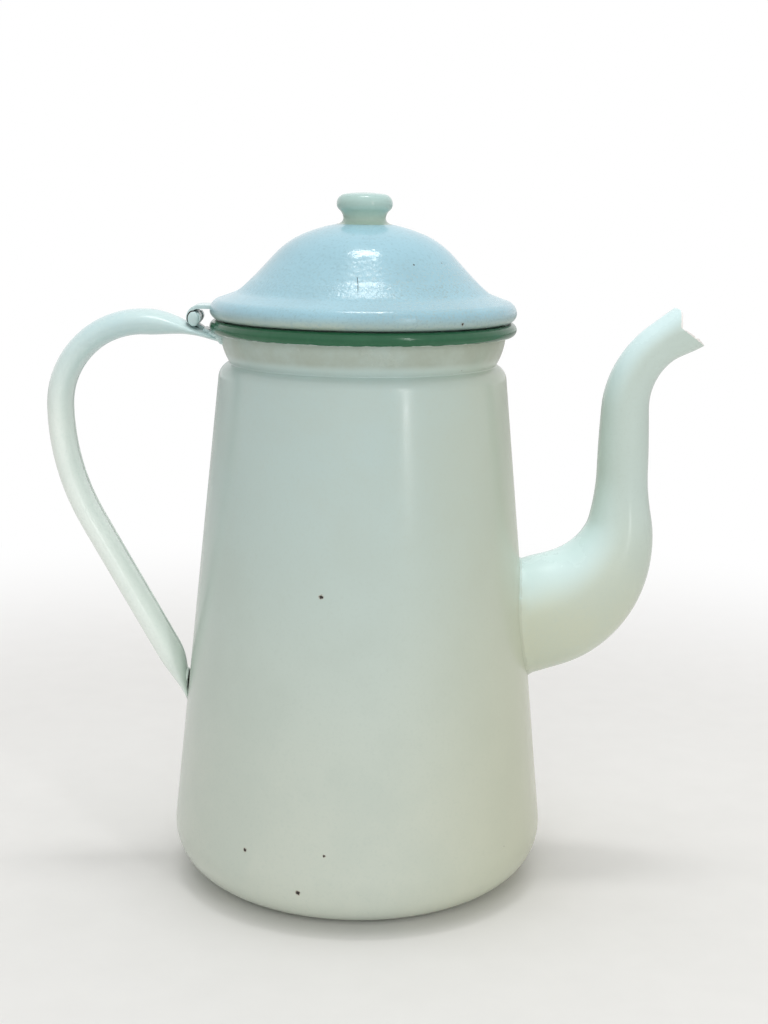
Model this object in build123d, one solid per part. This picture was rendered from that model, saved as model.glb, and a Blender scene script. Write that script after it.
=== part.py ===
from build123d import *
import math
import os

# Enamelled steel coffee pot with a hinged lid. Millimetres, +Z up.
# The origin is on the pot's axis at the level it stands on.
# The handle is at -X, the spout at +X, and the hinge pin lies along Y.

# Sheet and fits
SHEET = 1.0                  # steel with enamel on both faces
SEAT_GAP = 0.3               # lid roll above the rim
PIN_CLEARANCE = 0.05         # pin in its bores, on the radius
WIRE_CLEARANCE = 0.05        # rim wire in its roll, on the radius
KNUCKLE_GAP = 0.4            # side play between the bracket's eye and each knuckle

# Bottom
BASE_DIAMETER = 140.0        # widest, at the top of the rounded edge
BASE_EDGE_RADIUS = 19.2
STANDING_RING_WIDTH = 13.0
MIDDLE_RISE = 1.2            # middle of the bottom above the standing ring
MIDDLE_RAMP = 25.0           # degrees
PRESS_RADIUS = 2.5           # bends beside the ramp
SEAM_RUN = 4.9               # from the rounded edge up to the weld between bottom and wall

# Wall, shoulder and neck
WALL_LEAN = 5.8              # degrees from upright
WALL_LENGTH = 163.8          # along the slope, from the weld to the shoulder
SHOULDER_RADIUS = 5.9
SHOULDER_FACING = 68.0       # degrees above level that the shoulder faces at the crease
CREASE_RADIUS = 0.4
NECK_BULGE = 3.2             # neck outside the crease
NECK_FLARE = 30.0            # degrees from upright at the crease
NECK_UPRIGHT = 0.7

# Rolled rim
RIM_WIRE_RADIUS = 1.35
RIM_CURL = 300.0             # degrees of roll

# Strainer behind the spout
STRAINER_HOLE_DIAMETER = 4.4
STRAINER_PITCH = 6.6
STRAINER_RINGS = 2

# Spout
SPOUT_ROOT_HEIGHT = 98.3     # where the spout's line meets the wall
SPOUT_RISE = 17.3            # degrees at the root
SPOUT_ROOT_RUN = 9.2         # from the wall to the lower bend
SPOUT_LOWER_BEND = 37.7
SPOUT_RISER = 40.7           # upright length
SPOUT_UPPER_BEND = 31.1
SPOUT_UPPER_TURN = 59.2      # degrees turned forward
SPOUT_LIP_RUN = 9.7
SPOUT_ROOT_DEPTH = 43.3      # section height at the wall
SPOUT_ROOT_WIDTH = 37.0
SPOUT_RISER_DIAMETER = 19.0
SPOUT_WAIST_DIAMETER = 15.6
SPOUT_MOUTH_DIAMETER = 17.7
SPOUT_TAPER_START = 8.4      # along the spout's line, from the wall
SPOUT_TAPER_END = 75.0
SPOUT_WAIST_BACK = 13.4      # behind the mouth
MOUTH_SETBACK = 0.8          # upper edge of the mouth behind the lower lip
MOUTH_BITE = 4.0             # deepest point of the side cut behind the lower lip
MOUTH_BITE_HEIGHT = 0.8      # that point above the middle of the mouth
MOUTH_LIP_BOW = 0.7
SPOUT_STATIONS = 18          # sections along the spout's line

# Handle
HANDLE_WIDTH = 18.0
HANDLE_DEPTH = 9.4
HANDLE_SLOT = 2.6            # gap between the two rolled edges
HANDLE_BELOW_RIM = 4.7       # middle of the strap at the neck, below the middle of the rim
HANDLE_TOP_SLOPE = 16.0      # degrees
HANDLE_TOP_RUN = 12.0
HANDLE_TOP_BEND = 60.0
HANDLE_HAND_BEND = 31.0
HANDLE_LIMB_BEND = 88.0
HANDLE_LIMB_TURN = 29.0      # degrees from upright
HANDLE_LIMB_RUN = 58.0
HANDLE_FOOT_BEND = 40.0
HANDLE_FOOT_TURN = 9.0       # degrees
HANDLE_TONGUE_DEPTH = 2.6    # thin end under the rim
HANDLE_TONGUE_END = 5.0      # along the strap's line, from the neck
HANDLE_FULL_FROM = 27.0
HANDLE_FOOT_DEPTH = 2.4      # pinched end on the wall
HANDLE_PINCH_START = 17.0    # along the strap's line, before it meets the wall
HANDLE_PINCH_END = 3.0
HANDLE_FOOT_WIDTH = 15.0
HANDLE_FOOT_TAPER = 30.0
HANDLE_FOOT_SPARE = 6.0      # drawn on into the wall, and trimmed by it
HANDLE_STATIONS = 40         # sections along the strap's line

# Lid
LID_INSET = 0.1              # lid's edge inside the rim's outermost circle
LID_CROWN_TURN = 22.3        # degrees
LID_BREAK_RADIUS = 31.3
LID_SLOPE = 47.0             # degrees
LID_SLOPE_RUN = 15.5
LID_FLARE_RADIUS = 10.0
LID_BRIM_RUN = 5.8
LID_BRIM_SLOPE = 20.0        # degrees
LID_ROLL_TOP_RADIUS = 4.5
LID_ROLL_LOW_RADIUS = 3.1
LID_ROLL_CURL = 200.0        # degrees of roll below the widest point
COLLAR_CLEARANCE = 1.8       # inside the neck, at the rim
COLLAR_DEPTH = 8.0           # below the top of the rim
COLLAR_LEAD = 8.0            # degrees that its lower edge turns inwards
COLLAR_LEAD_RUN = 3.0

# Knob
KNOB_RISE = 10.4             # above the lid's crown
KNOB_CROWN_RADIUS = 45.0
KNOB_CROWN_TURN = 9.2        # degrees
KNOB_EDGE_RADIUS = 3.5
KNOB_UNDER_RADIUS = 3.0
KNOB_UNDER_TURN = 50.0       # degrees
KNOB_WAIST_RADIUS = 3.7
KNOB_FOOT_RADIUS = 1.8
KNOB_FOOT_TURN = 56.0        # degrees
KNOB_SHEET = 0.9

# Hinge
PIN_RADIUS = 1.25
PIN_BEYOND_RIM = 5.4         # pin outside the rim's outermost circle
PIN_ABOVE_RIM = 0.6          # pin above the top of the rim
LEAF_SHEET = 1.1
LEAF_BEND = 4.9
LEAF_WIDTH = 14.0
KNUCKLE_ROLL = 265.0         # degrees
EYE_WIDTH = 5.0
PIN_HEAD_RADIUS = 2.1
PIN_HEAD_HEIGHT = 1.1
BRACKET_SHEET = 1.1
BRACKET_ROLL = 280.0         # degrees
BRACKET_AT = 6.5             # where it leaves the handle, along the strap's line
BRACKET_FOOT_LENGTH = 2.6
BRACKET_FOOT_WIDTH = 12.0
BRACKET_SINK = 0.35          # foot pressed to the curve of the handle


def sine(degrees):
    return math.sin(math.radians(degrees))


def cosine(degrees):
    return math.cos(math.radians(degrees))


def tangent(degrees):
    return math.tan(math.radians(degrees))


def ease(value, start, end):
    """Smooth share from 0 before the start to 1 after the end."""
    share = min(max((value - start) / (end - start), 0), 1)
    return share * share * (3 - 2 * share)


def chain(start, heading, *moves):
    """Tangent line in two dimensions: a number is a straight run, a pair is (radius, degrees left)."""
    at = Vector(*start)
    direction = Vector(cosine(heading), sine(heading))
    edges = []
    for move in moves:
        if isinstance(move, tuple):
            edge = JernArc(at, direction, *move)
        else:
            edge = Line(at, at + direction * move)
        edges.append(edge.edge())
        at = edge @ 1
        direction = edge % 1
    return edges


def beside(move, thickness):
    """The same move on a parallel line to the left."""
    if not isinstance(move, tuple):
        return move
    radius, turn = move
    return (radius - thickness, turn) if turn > 0 else (radius + thickness, turn)


def sheet_section(start, heading, moves, thickness):
    """Section of a sheet on the left of a tangent line, or on its right if the thickness is negative."""
    near = chain(start, heading, *moves)
    aside = Vector(*start) + Vector(-sine(heading), cosine(heading)) * thickness
    far = chain(aside, heading, *[beside(move, thickness) for move in moves])
    caps = [Line(near[0] @ 0, far[0] @ 0).edge(), Line(near[-1] @ 1, far[-1] @ 1).edge()]
    return make_face([*near, *far, *caps])


def filled_section(edges):
    """Section between a line that starts on the axis, the level of its end, and the axis."""
    start = edges[0] @ 0
    end = edges[-1] @ 1
    return make_face([*edges, *Polyline(end, (0, end.Y), start).edges()])


def turned(section):
    """Solid of revolution about the pot's axis of a section drawn as radius and height."""
    return revolve(Plane.XZ * section, Axis.Z)


def across(section, width):
    """Solid of a section drawn in the X-Z plane, with a width along Y."""
    return extrude(Plane.XZ * section, width / 2, both=True)


# Pot body

edge_top_height = BASE_EDGE_RADIUS * (1 + sine(WALL_LEAN))
seam_height = edge_top_height + SEAM_RUN * cosine(WALL_LEAN)


def wall_radius(height):
    """Outer radius of the conical wall, which is tangent to the rounded bottom edge."""
    at_edge_middle = BASE_DIAMETER / 2 - BASE_EDGE_RADIUS + BASE_EDGE_RADIUS / cosine(WALL_LEAN)
    return at_edge_middle - (height - BASE_EDGE_RADIUS) * tangent(WALL_LEAN)


def base_moves():
    """Outside of the bottom from the axis to the weld."""
    drop = MIDDLE_RISE - 2 * PRESS_RADIUS * (1 - cosine(MIDDLE_RAMP))
    ramp = drop / sine(MIDDLE_RAMP)
    ramp_reach = 2 * PRESS_RADIUS * sine(MIDDLE_RAMP) + ramp * cosine(MIDDLE_RAMP)
    ring_outer = BASE_DIAMETER / 2 - BASE_EDGE_RADIUS
    return [
        ring_outer - STANDING_RING_WIDTH - ramp_reach,
        (PRESS_RADIUS, -MIDDLE_RAMP),
        ramp,
        (PRESS_RADIUS, MIDDLE_RAMP),
        STANDING_RING_WIDTH,
        (BASE_EDGE_RADIUS, 90 + WALL_LEAN),
        SEAM_RUN,
    ]


def wall_start():
    return (wall_radius(seam_height), seam_height)


def wall_moves():
    """Outside of the wall from the weld up to the rim."""
    neck_bend = NECK_BULGE / (1 - cosine(NECK_FLARE))
    return [
        WALL_LENGTH,
        (SHOULDER_RADIUS, SHOULDER_FACING - WALL_LEAN),
        (CREASE_RADIUS, -SHOULDER_FACING - NECK_FLARE),
        (neck_bend, NECK_FLARE),
        NECK_UPRIGHT,
    ]


neck_top = chain(wall_start(), 90 + WALL_LEAN, *wall_moves())[-1] @ 1
neck_radius = neck_top.X
rim_height = neck_top.Y
rim_roll_radius = RIM_WIRE_RADIUS + WIRE_CLEARANCE + SHEET
rim_centre_radius = neck_radius + RIM_WIRE_RADIUS + WIRE_CLEARANCE
rim_radius = rim_centre_radius + rim_roll_radius
rim_top = rim_height + rim_roll_radius


def filled_pot():
    """The pot's outside as one filled solid, for trimming what is welded on it."""
    outside = chain((0, MIDDLE_RISE), 0, *base_moves(), *wall_moves())
    rim = Pos(rim_centre_radius, rim_height) * Circle(rim_roll_radius)
    return turned(filled_section(outside)) + turned(rim)


def make_body_wall():
    rolled_edge = (RIM_WIRE_RADIUS + WIRE_CLEARANCE, -RIM_CURL)
    wall = turned(sheet_section(wall_start(), 90 + WALL_LEAN, [*wall_moves(), rolled_edge], SHEET))
    outward = Plane(origin=(0, 0, SPOUT_ROOT_HEIGHT), x_dir=(0, 1, 0), z_dir=(1, 0, 0))
    hole = extrude(Circle(STRAINER_HOLE_DIAMETER / 2), BASE_DIAMETER)
    holes = [outward * hole]
    for ring in range(1, STRAINER_RINGS + 1):
        for place in PolarLocations(ring * STRAINER_PITCH, 6 * ring):
            holes.append(outward * place * hole)
    return wall - holes


def make_base_pan():
    return turned(sheet_section((0, MIDDLE_RISE), 0, base_moves(), SHEET))


def make_rim_wire():
    return turned(Pos(rim_centre_radius, rim_height) * Circle(RIM_WIRE_RADIUS))


# Spout


def spout_line():
    """Middle line of the spout, from the wall to the lower lip."""
    return chain(
        (wall_radius(SPOUT_ROOT_HEIGHT), SPOUT_ROOT_HEIGHT),
        SPOUT_RISE,
        SPOUT_ROOT_RUN,
        (SPOUT_LOWER_BEND, 90 - SPOUT_RISE),
        SPOUT_RISER,
        (SPOUT_UPPER_BEND, -SPOUT_UPPER_TURN),
        SPOUT_LIP_RUN,
    )


def spout_size(run, root, length):
    """Outer size of the section at a length along the spout's line."""
    waist_at = length - SPOUT_WAIST_BACK
    tapered = root + (SPOUT_RISER_DIAMETER - root) * ease(run, SPOUT_TAPER_START, SPOUT_TAPER_END)
    narrowed = (SPOUT_RISER_DIAMETER - SPOUT_WAIST_DIAMETER) * ease(run, SPOUT_TAPER_END, waist_at)
    flared = (SPOUT_MOUTH_DIAMETER - SPOUT_WAIST_DIAMETER) * ease(run, waist_at, length)
    return tapered - narrowed + flared


def spout_solid(inset):
    """Filled swan neck, smaller all round by the inset, with its root inside the pot's wall."""
    line = Plane.XZ * Wire(spout_line())
    length = line.length
    sections = []
    for i in range(SPOUT_STATIONS + 1):
        share = i / SPOUT_STATIONS
        width = spout_size(length * share, SPOUT_ROOT_WIDTH, length) / 2 - inset
        depth = spout_size(length * share, SPOUT_ROOT_DEPTH, length) / 2 - inset
        where = Plane(origin=line @ share, x_dir=(0, 1, 0), z_dir=line % share)
        if i == 0:
            sections.append(where.offset(-SPOUT_ROOT_RUN) * Ellipse(width, depth))
        sections.append(where * Ellipse(width, depth))
    return loft(sections)


def mouth_cutter():
    """What the slanting mouth with its bitten sides leaves away, drawn from the side."""
    lip_run = spout_line()[-1]
    middle = lip_run @ 1
    along = lip_run % 1
    up = Vector(-along.Y, along.X)
    half = SPOUT_MOUTH_DIAMETER / 2
    clear = 2 * SPOUT_MOUTH_DIAMETER
    lower_lip = middle - up * half
    deepest = middle - along * MOUTH_BITE + up * MOUTH_BITE_HEIGHT
    upper_edge = middle - along * MOUTH_SETBACK + up * half
    bow = (lower_lip + deepest) / 2 + along * MOUTH_LIP_BOW
    rest = Polyline(
        deepest,
        upper_edge,
        upper_edge + up * clear,
        upper_edge + up * clear + along * clear,
        lower_lip - up * clear + along * clear,
        lower_lip - up * clear,
        lower_lip,
    )
    outline = make_face([ThreePointArc(lower_lip, bow, deepest).edge(), *rest.edges()])
    return across(outline, 2 * clear)


def make_spout_halves(pot):
    """Right and left pressing, which meet in the middle plane."""
    spout = spout_solid(0) - mouth_cutter() - pot - spout_solid(SHEET)
    halves = split(spout, Plane.XZ, keep=Keep.BOTH).solids()
    return sorted(halves, key=lambda half: half.center().Y)


# Handle


def handle_line():
    """Middle line of the strap, from the neck until it is buried in the wall."""
    start = (-neck_radius, rim_height - HANDLE_BELOW_RIM)
    bends = [
        HANDLE_TOP_RUN,
        (HANDLE_TOP_BEND, HANDLE_TOP_SLOPE),
        (HANDLE_HAND_BEND, 90),
        (HANDLE_LIMB_BEND, HANDLE_LIMB_TURN),
        HANDLE_LIMB_RUN,
        (HANDLE_FOOT_BEND, -HANDLE_FOOT_TURN),
    ]
    foot_start = chain(start, 180 - HANDLE_TOP_SLOPE, *bends)[-1] @ 1
    lean = HANDLE_LIMB_TURN - HANDLE_FOOT_TURN
    gap = -foot_start.X - wall_radius(foot_start.Y)
    to_wall = gap / (sine(lean) + cosine(lean) * tangent(WALL_LEAN))
    return chain(start, 180 - HANDLE_TOP_SLOPE, *bends, to_wall + HANDLE_FOOT_SPARE)


def handle_depth(run, length):
    """Thickness of the strap at a length along its line."""
    from_tongue = (HANDLE_DEPTH - HANDLE_TONGUE_DEPTH) * ease(run, HANDLE_TONGUE_END, HANDLE_FULL_FROM)
    at_wall = length - HANDLE_FOOT_SPARE
    pinch = ease(run, at_wall - HANDLE_PINCH_START, at_wall - HANDLE_PINCH_END)
    return HANDLE_TONGUE_DEPTH + from_tongue + (HANDLE_FOOT_DEPTH - HANDLE_DEPTH) * pinch


def handle_width(run, length):
    """Width of the strap at a length along its line."""
    at_wall = length - HANDLE_FOOT_SPARE
    at_foot = ease(run, at_wall - HANDLE_FOOT_TAPER, at_wall)
    return HANDLE_WIDTH + (HANDLE_FOOT_WIDTH - HANDLE_WIDTH) * at_foot


def strap_section(width, depth):
    """Flattened tube, rolled from a strip whose edges nearly meet on the side that faces the pot."""
    outside = Ellipse(width / 2, depth / 2)
    inside = Ellipse(width / 2 - SHEET, depth / 2 - SHEET)
    slot = Pos(0, depth / 2) * Rectangle(HANDLE_SLOT, depth)
    return outside - inside - slot


def make_handle(pot):
    line = Plane.XZ * Wire(handle_line())
    length = line.length
    sections = []
    for i in range(HANDLE_STATIONS + 1):
        share = i / HANDLE_STATIONS
        section = strap_section(handle_width(length * share, length), handle_depth(length * share, length))
        where = Plane(origin=line @ share, x_dir=(0, 1, 0), z_dir=line % share)
        if i == 0:
            sections.append(where.offset(-HANDLE_TONGUE_END) * section)
        sections.append(where * section)
    return loft(sections) - pot


# Lid

lid_radius = rim_radius - LID_INSET


def lid_moves():
    """Outside of the lid from the middle of its crown to its widest circle."""
    around_crown = [
        (LID_BREAK_RADIUS, LID_CROWN_TURN - LID_SLOPE),
        LID_SLOPE_RUN,
        (LID_FLARE_RADIUS, LID_SLOPE - LID_BRIM_SLOPE),
        LID_BRIM_RUN,
        (LID_ROLL_TOP_RADIUS, LID_BRIM_SLOPE - 90),
    ]
    reach = (chain((0, 0), -LID_CROWN_TURN, *around_crown)[-1] @ 1).X
    crown_radius = (lid_radius - reach) / sine(LID_CROWN_TURN)
    return [(crown_radius, -LID_CROWN_TURN), *around_crown]


def lid_crown_height():
    """Height of the crown that seats the rolled edge just above the rim."""
    widest = chain((0, 0), 0, *lid_moves())[-1] @ 1
    return rim_top + SEAT_GAP + LID_ROLL_LOW_RADIUS - widest.Y


def filled_lid():
    """The lid's outside as one filled solid, for trimming what is welded on it."""
    return turned(filled_section(chain((0, lid_crown_height()), 0, *lid_moves())))


def make_lid_dome():
    rolled_edge = (LID_ROLL_LOW_RADIUS, -LID_ROLL_CURL)
    return turned(sheet_section((0, lid_crown_height()), 0, [*lid_moves(), rolled_edge], -SHEET))


def make_lid_collar():
    """Band welded under the brim, cut to the underside of the lid."""
    bottom = rim_top - COLLAR_DEPTH
    lead = [COLLAR_LEAD_RUN, (COLLAR_LEAD_RUN, COLLAR_LEAD)]
    lead_reach = (chain((0, 0), 90 - COLLAR_LEAD, *lead)[-1] @ 1).X
    start = (neck_radius - SHEET - COLLAR_CLEARANCE - lead_reach, bottom)
    tall = lid_crown_height() - bottom
    band = turned(sheet_section(start, 90 - COLLAR_LEAD, [*lead, tall], SHEET))
    under_lid = chain((0, lid_crown_height() - SHEET), 0, *[beside(move, -SHEET) for move in lid_moves()])
    drop = (under_lid[-1] @ 1).Y - bottom
    return band & turned(filled_section([*under_lid, *chain(under_lid[-1] @ 1, -90, drop)]))


def make_lid_knob(lid):
    top = (0, lid_crown_height() + KNOB_RISE)
    moves = [
        (KNOB_CROWN_RADIUS, -KNOB_CROWN_TURN),
        (KNOB_EDGE_RADIUS, KNOB_CROWN_TURN - 90),
        (KNOB_UNDER_RADIUS, -KNOB_UNDER_TURN),
        (KNOB_WAIST_RADIUS, KNOB_UNDER_TURN),
        (KNOB_FOOT_RADIUS, KNOB_FOOT_TURN),
        KNOB_FOOT_RADIUS,
    ]
    return turned(sheet_section(top, 0, moves, -KNOB_SHEET)) - lid


# Hinge

bore_radius = PIN_RADIUS + PIN_CLEARANCE
knuckle_radius = bore_radius + LEAF_SHEET
eye_radius = bore_radius + BRACKET_SHEET
pin_centre = Vector(-rim_radius - PIN_BEYOND_RIM, rim_top + PIN_ABOVE_RIM)


def make_hinge_leaf(lid):
    """Strip from the lid's edge, curved down and rolled round the pin, with room for the eye."""
    inner_end = LID_ROLL_TOP_RADIUS - lid_radius
    bend_start = pin_centre + Vector(LEAF_BEND - knuckle_radius, LEAF_BEND)
    moves = [inner_end - bend_start.X, (LEAF_BEND, 90), (knuckle_radius, KNUCKLE_ROLL)]
    leaf = across(sheet_section((inner_end, bend_start.Y), 180, moves, LEAF_SHEET), LEAF_WIDTH)
    room = Box(4 * knuckle_radius, EYE_WIDTH + 2 * KNUCKLE_GAP, 2 * (eye_radius + KNUCKLE_GAP))
    return leaf - lid - Pos(pin_centre.X, 0, pin_centre.Y) * room


def make_hinge_bracket(handle):
    """Foot on the handle's thin end, and a strip from it rolled round the pin."""
    line = Wire(handle_line())
    where = BRACKET_AT / line.length
    out = line % where
    up = Vector(out.Y, -out.X)
    surface = line @ where + up * (handle_depth(BRACKET_AT, line.length) / 2 - BRACKET_SINK)
    foot_end = surface - out * BRACKET_FOOT_LENGTH
    foot_slope = math.degrees(math.atan2(out.Y, out.X))
    foot_section = sheet_section(foot_end, foot_slope, [BRACKET_FOOT_LENGTH], -BRACKET_SHEET)
    foot = across(foot_section, BRACKET_FOOT_WIDTH)
    to_pin = pin_centre - surface
    leg_slope = math.degrees(math.atan2(to_pin.Y, to_pin.X) + math.asin(eye_radius / to_pin.length))
    leg_run = math.sqrt(to_pin.length ** 2 - eye_radius ** 2)
    leg_moves = [leg_run, (eye_radius, -BRACKET_ROLL)]
    leg = across(sheet_section(surface, leg_slope, leg_moves, -BRACKET_SHEET), EYE_WIDTH)
    return foot + leg - handle


def make_hinge_pin():
    """Pin with a domed head outside each knuckle."""
    end = LEAF_WIDTH / 2
    dome_radius = (PIN_HEAD_RADIUS ** 2 + PIN_HEAD_HEIGHT ** 2) / (2 * PIN_HEAD_HEIGHT)
    dome_turn = math.degrees(math.asin(PIN_HEAD_RADIUS / dome_radius))
    head_top = (0, end + PIN_HEAD_HEIGHT)
    head = filled_section(chain(head_top, 0, (dome_radius, -dome_turn)))
    half = turned(head) + Pos(0, 0, end / 2) * Cylinder(PIN_RADIUS, end)
    pin = half + half.mirror(Plane.XY)
    return Pos(pin_centre.X, 0, pin_centre.Y) * Rot(90, 0, 0) * pin


def main():
    pot = filled_pot()
    lid = filled_lid()
    handle = make_handle(pot)
    right_half, left_half = make_spout_halves(pot)
    pieces = {
        "body_wall": make_body_wall(),
        "base_pan": make_base_pan(),
        "rim_wire": make_rim_wire(),
        "spout_right_half": right_half,
        "spout_left_half": left_half,
        "handle": handle,
        "hinge_bracket": make_hinge_bracket(handle),
        "lid_dome": make_lid_dome(),
        "lid_collar": make_lid_collar(),
        "lid_knob": make_lid_knob(lid),
        "hinge_leaf": make_hinge_leaf(lid),
        "hinge_pin": make_hinge_pin(),
    }
    os.makedirs("parts", exist_ok=True)
    for name, piece in pieces.items():
        export_step(piece, f"parts/{name}.step")


main()
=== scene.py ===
import math
import random

import bpy
from mathutils import Matrix, Vector


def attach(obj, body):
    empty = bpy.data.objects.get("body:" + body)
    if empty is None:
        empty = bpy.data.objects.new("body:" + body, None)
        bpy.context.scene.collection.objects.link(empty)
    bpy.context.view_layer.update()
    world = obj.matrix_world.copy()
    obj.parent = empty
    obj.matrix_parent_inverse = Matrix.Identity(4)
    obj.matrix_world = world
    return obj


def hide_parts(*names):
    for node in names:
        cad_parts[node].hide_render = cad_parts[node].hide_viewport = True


# Looks of an enamelled coffee pot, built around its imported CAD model. Metres and degrees, +Z up.
# The axis of the pot is the Z axis, the handle is at -X and the spout at +X.

# Sheet
SHEET = 0.001
WIRE_ROLL = 0.0014            # inside radius of the rolled rim
RIM_WIRE_RADIUS = 0.00135
EDGE_ROUND = 0.0003           # enamel round the edges of the sheet

# Bottom and wall
BASE_RADIUS = 0.070
BASE_EDGE_RADIUS = 0.0192
STANDING_RING_WIDTH = 0.013
MIDDLE_RISE = 0.0012
MIDDLE_RAMP = 25
PRESS_RADIUS = 0.0025
SEAM_RUN = 0.0049
WALL_LEAN = 5.8
WALL_LENGTH = 0.1638
SHOULDER_RADIUS = 0.0059
SHOULDER_FACING = 68
CREASE_RADIUS = 0.0004
NECK_BULGE = 0.0032
NECK_FLARE = 30
NECK_UPRIGHT = 0.0007
RIM_CURL = 300

# Strainer behind the spout
STRAINER_HOLE_RADIUS = 0.0022
STRAINER_PITCH = 0.0066
STRAINER_RINGS = 2

# Spout
SPOUT_ROOT_HEIGHT = 0.0983
SPOUT_RISE = 17.3
SPOUT_ROOT_RUN = 0.0092
SPOUT_LOWER_BEND = 0.0377
SPOUT_RISER = 0.0407
SPOUT_UPPER_BEND = 0.0311
SPOUT_UPPER_TURN = 59.2
SPOUT_LIP_RUN = 0.0097
SPOUT_ROOT_DEPTH = 0.0433
SPOUT_ROOT_WIDTH = 0.037
SPOUT_RISER_DIAMETER = 0.019
SPOUT_WAIST_DIAMETER = 0.0156
SPOUT_MOUTH_DIAMETER = 0.0177
SPOUT_TAPER_START = 0.0084
SPOUT_TAPER_END = 0.075
SPOUT_WAIST_BACK = 0.0134
SPOUT_FILLET = 0.0006         # enamel run into the corner at the wall
MOUTH_SETBACK = 0.0004
MOUTH_BITE = 0.0049
MOUTH_BITE_HEIGHT = 0.0020
MOUTH_LIP_BOW = 0.0007
MOUTH_TIP_ROUND = 0.0031

# Handle
HANDLE_WIDTH = 0.018
HANDLE_DEPTH = 0.0094
HANDLE_SLOT = 0.0026
HANDLE_BELOW_RIM = 0.0047
HANDLE_TOP_SLOPE = 16
HANDLE_TOP_RUN = 0.012
HANDLE_TOP_BEND = 0.060
HANDLE_HAND_BEND = 0.031
HANDLE_LIMB_BEND = 0.088
HANDLE_LIMB_TURN = 29
HANDLE_LIMB_RUN = 0.058
HANDLE_FOOT_BEND = 0.040
HANDLE_FOOT_TURN = 6
HANDLE_TONGUE_DEPTH = 0.0026
HANDLE_TONGUE_END = 0.005
HANDLE_FULL_FROM = 0.027
HANDLE_FOOT_DEPTH = 0.0024
HANDLE_PINCH_START = 0.0174   # before the wall
HANDLE_PINCH_END = -0.0016    # so just past it
HANDLE_FOOT_WIDTH = 0.015
HANDLE_FOOT_TAPER = 0.030
HANDLE_FOOT_SPARE = 0.006     # beyond the wall, cut off there

# Lid and knob
SEAT_GAP = 0.0003
LID_INSET = 0.0001
LID_CROWN_TURN = 22.3
LID_BREAK_RADIUS = 0.0313
LID_SLOPE = 47
LID_SLOPE_RUN = 0.0097
LID_EASE_RADIUS = 0.070
LID_EASE_TURN = 6
LID_FLARE_RADIUS = 0.010
LID_BRIM_SLOPE = 20
LID_BRIM_RUN = 0.0058
LID_ROLL_TOP_RADIUS = 0.0045
LID_ROLL_LOW_RADIUS = 0.0031
LID_ROLL_CURL = 200
COLLAR_CLEARANCE = 0.0018
COLLAR_DEPTH = 0.008
COLLAR_TOP = 0.2174
COLLAR_LEAD = 8
COLLAR_LEAD_RUN = 0.003
KNOB_RISE = 0.0104
KNOB_CROWN_RADIUS = 0.045
KNOB_CROWN_TURN = 9.2
KNOB_EDGE_RADIUS = 0.0035
KNOB_UNDER_RADIUS = 0.003
KNOB_UNDER_TURN = 50
KNOB_WAIST_RADIUS = 0.0037
KNOB_FOOT_RADIUS = 0.0018
KNOB_FOOT_TURN = 56
KNOB_SHEET = 0.0009
KNOB_SKIRT_RADIUS = 0.002     # enamel run out round its foot
KNOB_SKIRT_TURN = 25

# Hinge
PIN_RADIUS = 0.00125
BORE_RADIUS = 0.0013
PIN_BEYOND_RIM = 0.0054
PIN_ABOVE_RIM = 0.0006
LEAF_SHEET = 0.0011
LEAF_COAT = 0.0002            # enamel heaped on its outer face
LEAF_BEND = 0.0043
LEAF_EDGE_ROUND = 0.0004
LEAF_WIDTH = 0.014
KNUCKLE_ROLL = 230
KNUCKLE_GAP = 0.0004
EYE_WIDTH = 0.005
PIN_HEAD_RADIUS = 0.0021
PIN_HEAD_HEIGHT = 0.0011
BRACKET_SHEET = 0.0011
BRACKET_EDGE_ROUND = 0.00025
BRACKET_ROLL = 280
BRACKET_AT = 0.0065
BRACKET_FOOT_LENGTH = 0.0026
BRACKET_FOOT_WIDTH = 0.012
BRACKET_SINK = 0.00035

# Fineness of the meshes
ROUND_STEPS = 160
TUBE_SIDES = 72
ARC_STEP = 4                  # degrees
STATION = 0.0022              # between the rings of a tube
MERGE = 0.00001               # points that are closer become one

# Camera, found from the outline of the pot in the photograph
FOCAL_LENGTH = 55.47          # for a frame 36 mm tall
CAMERA_PLACE = (0, -0.57982, 0.254655)
CAMERA_PITCH = 11.376         # degrees down
CAMERA_YAW = 0.848            # degrees to the right
CAMERA_ROLL = 0.847

# Enamel drops in the corner between the handle's thin end and the rim: place and half sizes
RIM_DROPS = [
    ((-0.0549, -0.0060, 0.2046), (0.0014, 0.0024, 0.0012)),
    ((-0.0562, -0.0020, 0.2048), (0.0013, 0.0021, 0.0010)),
    ((-0.0552, 0.0045, 0.2046), (0.0014, 0.0028, 0.0012)),
    ((-0.0572, -0.0066, 0.2040), (0.0010, 0.0012, 0.0008)),
    ((-0.0530, -0.0066, 0.2044), (0.0024, 0.0032, 0.0015)),
    ((-0.0516, -0.0080, 0.2034), (0.0020, 0.0022, 0.0016)),
    ((-0.0528, 0.0060, 0.2044), (0.0024, 0.0034, 0.0015)),
    ((-0.0509, -0.0086, 0.2020), (0.0014, 0.0012, 0.0013)),
]

# Enamel run into the corner between the handle's foot and the wall
FOOT_DROP = (-0.0655, 0, 0.0733), (0.0011, 0.0045, 0.0032)

# Wear that the shapes show
MOUTH_STEPS = 18
MOUTH_ROUGHNESS = 0.00025     # how far its edge has crumbled
MOUTH_NICK = 0.0009
MOUTH_NICK_AT = 9             # step along the lower lip
DROP_HEIGHT = 0.0027          # of the enamel drops on the ends of the pin
DROP_HANG = 0.0004

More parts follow.
